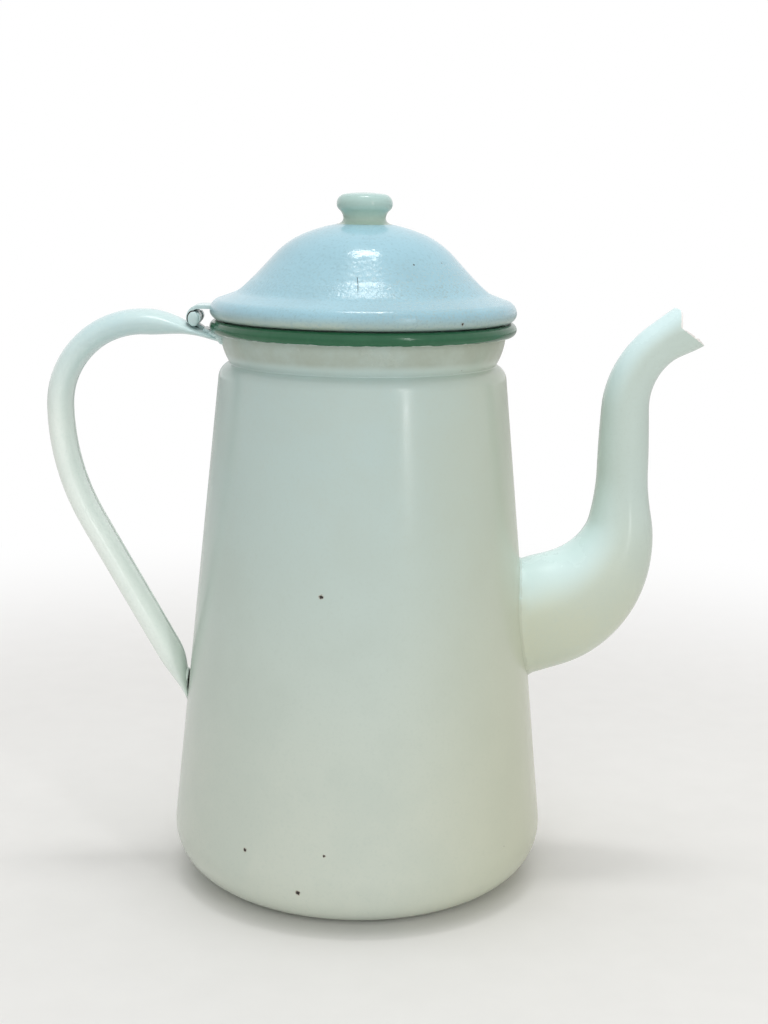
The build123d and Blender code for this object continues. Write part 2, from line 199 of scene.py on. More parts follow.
# Colours as a screen shows them, 0 to 255: low on the piece, high on it, in its clouds
# Painted light: the low-to-high change is light from the floor and from above on body, spout, handle
BODY_TONES = (209, 216, 203), (191, 211, 207), (190, 203, 193)
SPOUT_TONES = (206, 212, 190), (204, 220, 212), (194, 208, 198)
HANDLE_TONES = (246, 255, 248), (196, 222, 224), (220, 236, 228)
# The lid's low tone is painted shade on the underside of its rolled edge
LID_TONES = (180, 196, 183), (160, 202, 216), (142, 176, 186)
KNOB_TONES = (180, 204, 188), (180, 210, 206), (164, 190, 178)
# Painted light: a warm tint on the side towards the spout
WARM_SIDE_TINT = (200, 198, 160)
# Painted light: a pale tint on faces turned up towards the light
TOP_LIGHT_TINT = (226, 252, 255)
TOP_LIGHT_FACING = (-0.45, -0.35, 0.82)    # the way it faces
# Painted shade with some grime under the rolled rim, and a faint greyer band in the spout's corner
DARK_OLIVE_GREY = (152, 157, 136)
SPECK = (92, 84, 70)
RUST = (150, 120, 92)
BARE_IRON = (48, 42, 40)
# Near black: soot in the handle's crack and the lid's scratch, painted shade in the seam at the hinge pin
NEAR_BLACK = (40, 34, 30)
GROUND_COAT = (244, 240, 236)
PITS = (152, 178, 180)
GREEN = (24, 92, 58)
GREEN_CLOUD = (34, 98, 64)
GREEN_THIN = (96, 116, 98)
STEEL = (150, 148, 144)

# Where finishes start and end. Of a pair, the finish starts at the first and is full at the second.
GREEN_FROM = 0.2050           # height of the green's lower edge on the rolled rim
GREEN_OUTSIDE = 0.0517        # radius of its inner edge
GREEN_WANDER = 0.0012
GREEN_FADE = 0.0542, 0.0565   # from the middle of the pot, along the handle and the spout
NECK_DARK_LOW = 0.1955, 0.1985
NECK_DARK_HIGH = 0.2062, 0.2040
CRACK_CLOSES = 0.0690, 0.0715
PITTED_BELOW = 0.2370, 0.2240
GRAINS_HIGH = 0.2256, 0.2236
GRAINS_LOW = 0.2190, 0.2205
DULL_BELOW = 0.2142, 0.2130
LIP_WEAR = 0.0004             # bare strip on the lower lip, inside its edge

# Chips: centre and radius
BODY_CHIPS = [
    ((-0.0133, -0.0584, 0.1199), 0.0008),
    ((-0.0396, -0.0569, 0.0272), 0.0007),
    ((-0.0114, -0.0680, 0.0300), 0.0005),
    ((-0.0204, -0.0666, 0.0156), 0.0009),
]
LID_CHIPS = [
    ((0.0337, -0.0447, 0.2118), 0.0006),
    ((0.0172, -0.0298, 0.2310), 0.0003),
    ((0.0272, -0.0205, 0.2313), 0.0003),
]
LID_SCRATCH = (-0.0020, -0.0409, 0.2245)
SCRATCH_WIDTH = 0.00018, 0.00006    # half of it, at its border and where it is full
SCRATCH_LENGTH = 0.0026, 0.0022

# Light
WORLD_LEVEL = 0.36
LAMPS = [
    # name, place, point it faces, width, height, power, whether it shows in the glaze
    ("ceiling lamp", (0.015, 0.045, 1.7), (0.015, 0, 0.2), 0.45, 0.22, 4.6, True),
    ("soft ceiling", (0, 0.2, 2.2), (0, 0, 0.2), 2.2, 2.2, 24, False),
    ("side window", (0.83, -1.26, 0.68), (0, 0, 0.15), 0.05, 0.9, 3, True),
    ("soft front", (-0.25, -2.2, 1.2), (0, 0, 0.12), 1.6, 1.6, 12, False),
]


def sine(degrees):
    return math.sin(math.radians(degrees))


def cosine(degrees):
    return math.cos(math.radians(degrees))


def ease(value, start, end):
    """Smooth share from 0 before the start to 1 after the end."""
    share = min(max((value - start) / (end - start), 0), 1)
    return share * share * (3 - 2 * share)


def heading_vector(degrees):
    return Vector((cosine(degrees), sine(degrees)))


def chain(start, heading, moves):
    """Points of a tangent line: a number is a straight run, a pair is (radius, degrees turned left)."""
    points = [Vector(start)]
    for move in moves:
        if not isinstance(move, tuple):
            points.append(points[-1] + heading_vector(heading) * move)
            continue
        radius, turn = move
        side = 90 if turn > 0 else -90
        centre = points[-1] + heading_vector(heading + side) * radius
        steps = math.ceil(abs(turn) / ARC_STEP)
        for i in range(1, steps + 1):
            points.append(centre + heading_vector(heading - side + turn * i / steps) * radius)
        heading += turn
    return points


def line_length(line):
    return sum((there - here).length for here, there in zip(line, line[1:]))


def beside(move, thickness):
    """The same move on a parallel line to the left."""
    if not isinstance(move, tuple):
        return move
    radius, turn = move
    return (radius - thickness, turn) if turn > 0 else (radius + thickness, turn)


def sheet_outline(start, heading, moves, thickness):
    """Closed outline of a sheet on the left of a tangent line, or on its right if it is negative."""
    near = chain(start, heading, moves)
    aside = Vector(start) + heading_vector(heading + 90) * thickness
    far = chain(aside, heading, [beside(move, thickness) for move in moves])
    return near + far[::-1]


# Modelling


def add_outline(name, points, closed):
    """New mesh with one line of edges in the X-Z plane, left in edit mode with all of it selected."""
    bpy.ops.mesh.primitive_plane_add(size=0.001)
    piece = bpy.context.object
    piece.name = name
    piece.data.name = name
    bpy.ops.object.mode_set(mode="EDIT")
    bpy.ops.mesh.merge(type="CENTER")
    bpy.ops.transform.translate(value=(points[0].x, 0, points[0].y))
    route = points + points[:1] if closed else points
    for here, there in zip(route, route[1:]):
        move = (there.x - here.x, 0, there.y - here.y)
        bpy.ops.mesh.extrude_region_move(TRANSFORM_OT_translate={"value": move})
    bpy.ops.mesh.select_all(action="SELECT")
    bpy.ops.mesh.remove_doubles(threshold=MERGE)
    return piece


def close_mesh():
    """Merge what coincides, turn the faces outwards and leave edit mode."""
    bpy.ops.mesh.select_all(action="SELECT")
    bpy.ops.mesh.remove_doubles(threshold=MERGE)
    bpy.ops.mesh.normals_make_consistent(inside=False)
    bpy.ops.object.mode_set(mode="OBJECT")


def turned(name, points, closed):
    """Mesh of revolution about the pot's axis."""
    piece = add_outline(name, points, closed)
    bpy.ops.mesh.spin(steps=ROUND_STEPS, angle=math.tau, center=(0, 0, 0), axis=(0, 0, 1))
    close_mesh()
    return piece


def plate(name, points, width):
    """Mesh of an outline in the X-Z plane, given a width along Y."""
    piece = add_outline(name, points, True)
    bpy.ops.transform.translate(value=(0, -width / 2, 0))
    bpy.ops.mesh.edge_face_add()
    bpy.ops.mesh.extrude_region_move(TRANSFORM_OT_translate={"value": (0, width, 0)})
    close_mesh()
    return piece


def apply_modifier(piece, kind, **settings):
    modifier = piece.modifiers.new(kind.title(), kind)
    for name, value in settings.items():
        setattr(modifier, name, value)
    bpy.context.view_layer.objects.active = piece
    bpy.ops.object.modifier_apply(modifier=modifier.name)


def cut(piece, cutter):
    """Take the cutter's volume out of the piece."""
    apply_modifier(piece, "BOOLEAN", operation="DIFFERENCE", solver="EXACT", object=cutter)


def soften(piece, width):
    """Round the sharp edges, as thick enamel does."""
    sharp = math.radians(38)
    apply_modifier(piece, "BEVEL", width=width, segments=3, limit_method="ANGLE", angle_limit=sharp)


def smooth(piece, degrees=35):
    bpy.ops.object.select_all(action="DESELECT")
    piece.select_set(True)
    bpy.context.view_layer.objects.active = piece
    bpy.ops.object.shade_smooth_by_angle(angle=math.radians(degrees))
    bpy.ops.object.select_all(action="DESELECT")


def join(name, *pieces):
    bpy.ops.object.select_all(action="DESELECT")
    for piece in pieces:
        piece.select_set(True)
    bpy.context.view_layer.objects.active = pieces[0]
    bpy.ops.object.join()
    pieces[0].name = name
    return pieces[0]


def tube(name, line, lead, sizes):
    """Skin of a tube of changing oval section along a line in the X-Z plane, starting a lead before it.

    sizes gives (width, depth) at a length along the line."""
    length = line_length(line)
    count = math.ceil((length + lead) / STATION)
    step = (length + lead) / count
    bpy.ops.mesh.primitive_circle_add(vertices=TUBE_SIDES, radius=0.5, rotation=(0, math.pi / 2, 0))
    piece = bpy.context.object
    piece.name = name
    bpy.ops.object.transform_apply(location=False, rotation=True, scale=False)
    width, depth = sizes(0)
    bpy.ops.object.mode_set(mode="EDIT")
    bpy.ops.mesh.select_all(action="SELECT")
    bpy.ops.transform.resize(value=(1, depth, width), center_override=(0, 0, 0))
    bpy.ops.transform.translate(value=(-lead, 0, 0))
    for i in range(1, count + 1):
        at = i * step - lead
        new_width, new_depth = sizes(max(at, 0))
        grown = (1, new_depth / depth, new_width / width)
        bpy.ops.mesh.extrude_region_move(TRANSFORM_OT_translate={"value": (step, 0, 0)})
        bpy.ops.transform.resize(value=grown, center_override=(at, 0, 0))
        width, depth = new_width, new_depth
    bpy.ops.mesh.select_all(action="SELECT")
    bpy.ops.mesh.normals_make_consistent(inside=False)
    bpy.ops.object.mode_set(mode="OBJECT")
    bend_along(piece, line)
    return piece


def channel(name, line, lead, sizes, slot):
    """Oval tube with a wall and a slot along its left side, on a line in the X-Z plane."""
    length = line_length(line)
    count = math.ceil((length + lead) / STATION)
    slot_angle = math.degrees(math.asin(slot / sizes(length / 2)[0]))
    angles = [slot_angle + (360 - 2 * slot_angle) * i / TUBE_SIDES for i in range(TUBE_SIDES + 1)]
    outside = [heading_vector(angle) for angle in angles]
    inside = [heading_vector(angle) * 0.5 for angle in angles[::-1]]
    piece = add_outline(name, outside + inside, True)
    bpy.ops.mesh.edge_face_add()
    bpy.ops.object.mode_set(mode="OBJECT")
    piece.data.transform(Matrix.Translation((-lead, 0, 0)) @ Matrix.Rotation(math.pi / 2, 4, "Z"))
    bpy.ops.object.mode_set(mode="EDIT")
    for _ in range(count):
        move = ((length + lead) / count, 0, 0)
        bpy.ops.mesh.extrude_region_move(TRANSFORM_OT_translate={"value": move})
    close_mesh()
    for vertex in piece.data.vertices:
        reach = math.hypot(vertex.co.y, vertex.co.z)
        both_walls = 0 if reach > 0.75 else 2 * SHEET
        width, depth = sizes(max(vertex.co.x, 0))
        vertex.co.y *= (depth - both_walls) / 2 / reach
        vertex.co.z *= (width - both_walls) / 2 / reach
    bend_along(piece, line)
    return piece


def bend_along(piece, line):
    """Bend a straight tube from the X axis to a line, and stand it up in the X-Z plane."""
    drawn = bpy.data.curves.new("tube line", "CURVE")
    spline = drawn.splines.new("POLY")
    spline.points.add(len(line) - 1)
    for point, place in zip(spline.points, line):
        point.co = (place.x, place.y, 0, 1)
    guide = bpy.data.objects.new("tube line", drawn)
    bpy.context.scene.collection.objects.link(guide)
    apply_modifier(piece, "CURVE", object=guide, deform_axis="POS_X")
    bpy.data.objects.remove(guide)
    piece.data.transform(Matrix.Rotation(math.pi / 2, 4, "X"))


# Pot


def base_moves():
    drop = MIDDLE_RISE - 2 * PRESS_RADIUS * (1 - cosine(MIDDLE_RAMP))
    ramp = drop / sine(MIDDLE_RAMP)
    ramp_reach = 2 * PRESS_RADIUS * sine(MIDDLE_RAMP) + ramp * cosine(MIDDLE_RAMP)
    return [
        BASE_RADIUS - BASE_EDGE_RADIUS - STANDING_RING_WIDTH - ramp_reach,
        (PRESS_RADIUS, -MIDDLE_RAMP),
        ramp,
        (PRESS_RADIUS, MIDDLE_RAMP),
        STANDING_RING_WIDTH,
        (BASE_EDGE_RADIUS, 90 + WALL_LEAN),
        SEAM_RUN,
    ]


def wall_moves():
    return [
        WALL_LENGTH,
        (SHOULDER_RADIUS, SHOULDER_FACING - WALL_LEAN),
        (CREASE_RADIUS, -SHOULDER_FACING - NECK_FLARE),
        (NECK_BULGE / (1 - cosine(NECK_FLARE)), NECK_FLARE),
        NECK_UPRIGHT,
    ]


base_line = chain((0, MIDDLE_RISE), 0, base_moves())
wall_start = base_line[-1]
wall_line = chain(wall_start, 90 + WALL_LEAN, wall_moves())
neck_radius, rim_height = wall_line[-1]
rim_roll = WIRE_ROLL + SHEET
rim_centre = neck_radius + WIRE_ROLL
rim_radius = rim_centre + rim_roll
rim_top = rim_height + rim_roll
pin_x = -rim_radius - PIN_BEYOND_RIM
pin_z = rim_top + PIN_ABOVE_RIM


def wall_radius(height):
    return wall_start.x - (height - wall_start.y) * math.tan(math.radians(WALL_LEAN))


def pot_core():
    """Filled pot, a little inside the outer face of its wall, which trims the spout and the handle."""
    outside = base_line[:-1] + wall_line
    inset = [Vector((max(p.x - SHEET / 2, 0), p.y)) for p in outside]
    return turned("pot core", inset + [Vector((0, rim_height))], False)


def make_base_pan():
    piece = turned("bottom_pan", sheet_outline((0, MIDDLE_RISE), 0, base_moves(), SHEET), False)
    smooth(piece)
    return piece


def make_body_wall():
    moves = wall_moves() + [(WIRE_ROLL, -RIM_CURL)]
    piece = turned("pot_wall", sheet_outline(wall_start, 90 + WALL_LEAN, moves, SHEET), True)
    cut(piece, strainer_drills())
    smooth(piece)
    return piece


def rod(radius, length, place, turn, sides):
    bpy.ops.mesh.primitive_cylinder_add(
        vertices=sides, radius=radius, depth=length, location=place, rotation=turn
    )
    return bpy.context.object


def strainer_drills():
    """Round rods that drill the strainer's holes through the wall."""
    rods = []
    for ring in range(STRAINER_RINGS + 1):
        for i in range(max(1, 6 * ring)):
            angle = math.tau * i / max(1, 6 * ring)
            side = math.cos(angle) * ring * STRAINER_PITCH
            high = SPOUT_ROOT_HEIGHT + math.sin(angle) * ring * STRAINER_PITCH
            place = (wall_radius(SPOUT_ROOT_HEIGHT), side, high)
            rods.append(rod(STRAINER_HOLE_RADIUS, 20 * SHEET, place, (0, math.pi / 2, 0), 24))
    return note_tool(join("strainer drills", *rods))


def note_tool(tool):
    """Put a cutting tool on the list of those that are deleted when all is cut."""
    tools.append(tool)
    return tool


def make_rim_wire():
    centre = Vector((rim_centre, rim_height))
    ring = [centre + heading_vector(angle) * RIM_WIRE_RADIUS for angle in range(0, 360, 20)]
    piece = turned("rim_wire_ring", ring, True)
    smooth(piece)
    return piece


# Spout


def spout_line():
    moves = [
        SPOUT_ROOT_RUN,
        (SPOUT_LOWER_BEND, 90 - SPOUT_RISE),
        SPOUT_RISER,
        (SPOUT_UPPER_BEND, -SPOUT_UPPER_TURN),
        SPOUT_LIP_RUN,
    ]
    return chain((wall_radius(SPOUT_ROOT_HEIGHT), SPOUT_ROOT_HEIGHT), SPOUT_RISE, moves)


def spout_size(run, root, length):
    waist_at = length - SPOUT_WAIST_BACK
    tapered = root + (SPOUT_RISER_DIAMETER - root) * ease(run, SPOUT_TAPER_START, SPOUT_TAPER_END)
    narrowed = (SPOUT_RISER_DIAMETER - SPOUT_WAIST_DIAMETER) * ease(run, SPOUT_TAPER_END, waist_at)
    flared = (SPOUT_MOUTH_DIAMETER - SPOUT_WAIST_DIAMETER) * ease(run, waist_at, length)
    return tapered - narrowed + flared


def mouth_corners():
    """Lower lip, deepest point and upper edge of the mouth from the side, and the ways along and up."""
    line = spout_line()
    along = (line[-1] - line[-2]).normalized()
    up = Vector((-along.y, along.x))
    half = SPOUT_MOUTH_DIAMETER / 2
    lower_lip = line[-1] - up * half
    deepest = line[-1] - along * MOUTH_BITE + up * MOUTH_BITE_HEIGHT
    upper_edge = line[-1] - along * MOUTH_SETBACK + up * half
    return lower_lip, deepest, upper_edge, along, up


def mouth_cutter():
    """What the slanting mouth with its bitten and crumbled sides leaves away, drawn from the side."""
    lower_lip, deepest, upper_edge, along, up = mouth_corners()
    clear = 2 * SPOUT_MOUTH_DIAMETER
    crumbling = random.Random(5)
    lip = [lower_lip]
    for i in range(1, MOUTH_STEPS):
        share = i / MOUTH_STEPS
        bow = MOUTH_LIP_BOW * math.sin(math.pi * share)
        nick = MOUTH_NICK if i == MOUTH_NICK_AT else crumbling.uniform(0, MOUTH_ROUGHNESS)
        lip.append(lower_lip.lerp(deepest, share) + along * (bow - nick))
    tip_low = upper_edge + (deepest - upper_edge).normalized() * MOUTH_TIP_ROUND
    tip_back = upper_edge - along * MOUTH_TIP_ROUND
    control = upper_edge.lerp((tip_low + tip_back) / 2, 0.35)
    tip = [tip_low.lerp(control, i / 5).lerp(control.lerp(tip_back, i / 5), i / 5) for i in range(6)]
    outline = lip + [deepest] + tip + [
        tip_back + up * clear,
        upper_edge + up * clear + along * clear,
        lower_lip - up * clear + along * clear,
        lower_lip - up * clear,
    ]
    return note_tool(plate("mouth cutter", outline, 2 * clear))


def make_spout(core):
    line = spout_line()
    length = line_length(line)

    def sizes(run):
        return spout_size(run, SPOUT_ROOT_WIDTH, length), spout_size(run, SPOUT_ROOT_DEPTH, length)

    piece = tube("spout_tube", line, SPOUT_ROOT_RUN, sizes)
    swell_at_wall(piece, SPOUT_FILLET)
    apply_modifier(piece, "SOLIDIFY", thickness=SHEET, offset=-1, use_even_offset=True)
    cut(piece, mouth_cutter())
    cut(piece, core)
    soften(piece, EDGE_ROUND)
    smooth(piece, 50)
    return piece


def swell_at_wall(piece, fillet):
    """Spread a tube where it nears the pot's wall, as the enamel in the corner does."""
    for vertex in piece.data.vertices:
        place = vertex.co
        gap = math.hypot(place.x, place.y) - wall_radius(place.z)
        if gap < 2 * fillet:
            share = 1 - max(gap, 0) / (2 * fillet)
            vertex.co += vertex.normal * fillet * share * share


# Handle


def handle_line():
    start = Vector((-neck_radius, rim_height - HANDLE_BELOW_RIM))
    bends = [
        HANDLE_TOP_RUN,
        (HANDLE_TOP_BEND, HANDLE_TOP_SLOPE),
        (HANDLE_HAND_BEND, 90),
        (HANDLE_LIMB_BEND, HANDLE_LIMB_TURN),
        HANDLE_LIMB_RUN,
        (HANDLE_FOOT_BEND, -HANDLE_FOOT_TURN),
    ]
    foot_start = chain(start, 180 - HANDLE_TOP_SLOPE, bends)[-1]
    lean = HANDLE_LIMB_TURN - HANDLE_FOOT_TURN
    gap = -foot_start.x - wall_radius(foot_start.y)
    to_wall = gap / (sine(lean) + cosine(lean) * math.tan(math.radians(WALL_LEAN)))
    return chain(start, 180 - HANDLE_TOP_SLOPE, bends + [to_wall + HANDLE_FOOT_SPARE])


def handle_depth(run, length):
    from_tongue = (HANDLE_DEPTH - HANDLE_TONGUE_DEPTH) * ease(run, HANDLE_TONGUE_END, HANDLE_FULL_FROM)
    at_wall = length - HANDLE_FOOT_SPARE
    pinch = ease(run, at_wall - HANDLE_PINCH_START, at_wall - HANDLE_PINCH_END)
    return HANDLE_TONGUE_DEPTH + from_tongue + (HANDLE_FOOT_DEPTH - HANDLE_DEPTH) * pinch


def handle_width(run, length):
    at_wall = length - HANDLE_FOOT_SPARE
    at_foot = ease(run, at_wall - HANDLE_FOOT_TAPER, at_wall)
    return HANDLE_WIDTH + (HANDLE_FOOT_WIDTH - HANDLE_WIDTH) * at_foot


def make_handle(core):
    line = handle_line()
    length = line_length(line)

    def sizes(run):
        return handle_width(run, length), handle_depth(run, length)

    piece = channel("strap_handle", line, HANDLE_TONGUE_END, sizes, HANDLE_SLOT)
    cut(piece, core)
    soften(piece, EDGE_ROUND)
    piece = join("strap_handle", piece, drop(*FOOT_DROP))
    smooth(piece, 50)
    return piece


# Lid


def lid_moves():
    outward = [
        (LID_BREAK_RADIUS, LID_CROWN_TURN - LID_SLOPE),
        LID_SLOPE_RUN,
        (LID_EASE_RADIUS, LID_EASE_TURN),
        (LID_FLARE_RADIUS, LID_SLOPE - LID_EASE_TURN - LID_BRIM_SLOPE),
        LID_BRIM_RUN,
        (LID_ROLL_TOP_RADIUS, LID_BRIM_SLOPE - 90),
    ]
    reach = chain((0, 0), -LID_CROWN_TURN, outward)[-1].x
    crown_radius = (rim_radius - LID_INSET - reach) / sine(LID_CROWN_TURN)
    return [(crown_radius, -LID_CROWN_TURN)] + outward


def crown_height():
    return rim_top + SEAT_GAP + LID_ROLL_LOW_RADIUS - chain((0, 0), 0, lid_moves())[-1].y


def make_lid_dome():
    moves = lid_moves() + [(LID_ROLL_LOW_RADIUS, -LID_ROLL_CURL)]
    piece = turned("lid_shell", sheet_outline((0, crown_height()), 0, moves, -SHEET), False)
    smooth(piece)
    return piece


def make_lid_collar():
    bottom = rim_top - COLLAR_DEPTH
    lead = [COLLAR_LEAD_RUN, (COLLAR_LEAD_RUN, COLLAR_LEAD)]
    lead_reach = chain((0, 0), 90 - COLLAR_LEAD, lead)[-1].x
    start = (neck_radius - SHEET - COLLAR_CLEARANCE - lead_reach, bottom)
    rise = COLLAR_TOP - chain(start, 90 - COLLAR_LEAD, lead)[-1].y
    piece = turned("lid_collar_band", sheet_outline(start, 90 - COLLAR_LEAD, lead + [rise], SHEET), True)
    smooth(piece)
    return piece


def make_lid_knob():
    moves = [
        (KNOB_CROWN_RADIUS, -KNOB_CROWN_TURN),
        (KNOB_EDGE_RADIUS, KNOB_CROWN_TURN - 90),
        (KNOB_UNDER_RADIUS, -KNOB_UNDER_TURN),
        (KNOB_WAIST_RADIUS, KNOB_UNDER_TURN),
        (KNOB_FOOT_RADIUS, KNOB_FOOT_TURN),
        KNOB_SHEET / 2,
        (KNOB_SKIRT_RADIUS, KNOB_SKIRT_TURN),
        KNOB_SHEET / 2,
    ]
    top = (0, crown_height() + KNOB_RISE)
    piece = turned("knob", sheet_outline(top, 0, moves, -KNOB_SHEET), False)
    smooth(piece)
    return piece


# Hinge


def make_hinge_leaf():
    knuckle = BORE_RADIUS + LEAF_SHEET
    inner_end = LID_ROLL_TOP_RADIUS - rim_radius + LID_INSET
    bend_x = pin_x + LEAF_BEND - knuckle
    moves = [inner_end - bend_x, (LEAF_BEND + LEAF_COAT, 90), (knuckle + LEAF_COAT, KNUCKLE_ROLL)]
    start = (inner_end, pin_z + LEAF_BEND + LEAF_COAT)
    piece = plate("hinge_strap", sheet_outline(start, 180, moves, LEAF_SHEET + LEAF_COAT), LEAF_WIDTH)
    room_half = BORE_RADIUS + BRACKET_SHEET + KNUCKLE_GAP
    room = (4 * knuckle, EYE_WIDTH + 2 * KNUCKLE_GAP, 2 * room_half)
    bpy.ops.mesh.primitive_cube_add(size=1, location=(pin_x, 0, pin_z), scale=room)
    cut(piece, note_tool(bpy.context.object))
    soften(piece, LEAF_EDGE_ROUND)
    smooth(piece, 40)
    return piece


def make_hinge_bracket():
    """Foot on the handle's thin end, and a strip from it rolled round the pin."""
    line = handle_line()
    length = line_length(line)
    out = heading_vector(180 - HANDLE_TOP_SLOPE)
    up = Vector((out.y, -out.x))
    surface = line[0] + out * BRACKET_AT + up * (handle_depth(BRACKET_AT, length) / 2 - BRACKET_SINK)
    start = surface - out * BRACKET_FOOT_LENGTH
    foot_line = sheet_outline(start, 180 - HANDLE_TOP_SLOPE, [BRACKET_FOOT_LENGTH], -BRACKET_SHEET)
    foot = plate("bracket foot", foot_line, BRACKET_FOOT_WIDTH)
    eye = BORE_RADIUS + BRACKET_SHEET
    to_pin = Vector((pin_x, pin_z)) - surface
    leg_slope = math.degrees(math.atan2(to_pin.y, to_pin.x) + math.asin(eye / to_pin.length))
    leg_run = math.sqrt(to_pin.length ** 2 - eye ** 2)
    leg_line = sheet_outline(surface, leg_slope, [leg_run, (eye, -BRACKET_ROLL)], -BRACKET_SHEET)
    leg = plate("bracket leg", leg_line, EYE_WIDTH)
    piece = join("hinge_foot", foot, leg)
    soften(piece, BRACKET_EDGE_ROUND)
    piece = join("hinge_foot", piece, *[drop(place, sizes) for place, sizes in RIM_DROPS])
    smooth(piece, 40)
    return piece


def drop(place, sizes):
    """Rounded drop of enamel, with its half sizes."""
    bpy.ops.mesh.primitive_uv_sphere_add(segments=48, ring_count=32, location=place, scale=sizes)
    bpy.ops.object.transform_apply()
    return bpy.context.object


def make_hinge_pin():
    """Pin with a domed head outside each knuckle, buried in drops of enamel."""
    shaft = rod(PIN_RADIUS, LEAF_WIDTH, (pin_x, 0, pin_z), (math.pi / 2, 0, 0), 48)
    bpy.ops.object.transform_apply()
    sizes = (PIN_HEAD_RADIUS, PIN_HEAD_HEIGHT, DROP_HEIGHT)
    heads = [drop((pin_x, side * LEAF_WIDTH / 2, pin_z - DROP_HANG), sizes) for side in (-1, 1)]
    piece = join("hinge_rivet", shaft, *heads)
    smooth(piece, 50)
    return piece


# Node trees


def put(tree, kind, sockets=None, **settings):
    """New node with its settings, and its sockets set or linked by name or number."""
    node = tree.nodes.new(kind)
    for name, value in settings.items():
        setattr(node, name, value)
    for name, value in (sockets or {}).items():
        feed(tree, node.inputs[name], value)
    return node


def feed(tree, socket, value):
    if isinstance(value, bpy.types.NodeSocket):
        tree.links.new(value, socket)
    elif value is not None:
        socket.default_value = value


def calculate(tree, operation, first, second=None):
    return put(tree, "ShaderNodeMath", {0: first, 1: second}, operation=operation).outputs[0]


def plus(tree, first, second):
    return calculate(tree, "ADD", first, second)


def minus(tree, first, second):
    return calculate(tree, "SUBTRACT", first, second)


def times(tree, first, second):
    return calculate(tree, "MULTIPLY", first, second)


def on_vectors(tree, operation, first, second=None):
    """Outputs of a calculation on vectors: its Vector and its Value."""
    return put(tree, "ShaderNodeVectorMath", {0: first, 1: second}, operation=operation).outputs


def blend_colour(tree, share, low, high):
    return put(tree, "ShaderNodeMix", {0: share, 6: low, 7: high}, data_type="RGBA").outputs[2]


def blend_value(tree, share, low, high):
    return put(tree, "ShaderNodeMix", {0: share, 2: low, 3: high}, data_type="FLOAT").outputs[0]


def step_mask(tree, value, start, end):
    """0 where the value is at the start, 1 where it is at the end, smooth between."""
    sockets = {0: value, 1: start, 2: end}
    return put(tree, "ShaderNodeMapRange", sockets, interpolation_type="SMOOTHSTEP").outputs[0]


def noise(tree, scale, detail=3.0, roughness=0.55):
    sockets = {"Vector": object_place(tree), "Scale": scale, "Detail": detail, "Roughness": roughness}
    return put(tree, "ShaderNodeTexNoise", sockets).outputs[0]


def object_place(tree):
    return put(tree, "ShaderNodeTexCoord").outputs["Object"]


def along_axes(tree, place):
    """The x, y and z of a place."""
    return put(tree, "ShaderNodeSeparateXYZ", {0: place}).outputs


def coordinates(tree):
    return along_axes(tree, object_place(tree))


def axis_radius(tree):
    """Distance of a point from the pot's axis."""
    place = coordinates(tree)
    flat = put(tree, "ShaderNodeCombineXYZ", {0: place[0], 1: place[1]}).outputs[0]
    return on_vectors(tree, "LENGTH", flat)["Value"]


def off_wall(tree):
    """Level distance of a point from the outer face of the pot's wall."""
    height = coordinates(tree)[2]
    narrowing = times(tree, height, math.tan(math.radians(WALL_LEAN)))
    return minus(tree, plus(tree, axis_radius(tree), narrowing), wall_radius(0))


def past_line(tree, point, normal):
    """Distance past a line that is drawn in the side view, on the side to which its normal points."""
    away = on_vectors(tree, "SUBTRACT", object_place(tree), (point.x, 0, point.y))["Vector"]
    return on_vectors(tree, "DOT_PRODUCT", away, (normal.x, 0, normal.y))["Value"]


def new_group(name, inputs, outputs):
    """Empty node group with named sockets, its input node and its output node."""
    group = bpy.data.node_groups.new(name, "ShaderNodeTree")
    for socket, kind, default in inputs:
        made = group.interface.new_socket(socket, in_out="INPUT", socket_type=kind)
        made.default_value = default
    for socket, kind in outputs:
        group.interface.new_socket(socket, in_out="OUTPUT", socket_type=kind)
    return group, put(group, "NodeGroupInput").outputs, put(group, "NodeGroupOutput")


def place_group(tree, group, sockets):
    node = put(tree, "ShaderNodeGroup", node_tree=group)
    for name, value in sockets.items():
        feed(tree, node.inputs[name], value)
    return node.outputs


def linear(seen):
    seen /= 255
    return seen / 12.92 if seen <= 0.04045 else ((seen + 0.055) / 1.055) ** 2.4


def paint(tone):
    """A colour as a screen shows it, in the linear values that nodes use."""
    red, green, blue = tone
    return (linear(red), linear(green), linear(blue), 1)


# Effects that several enamels share


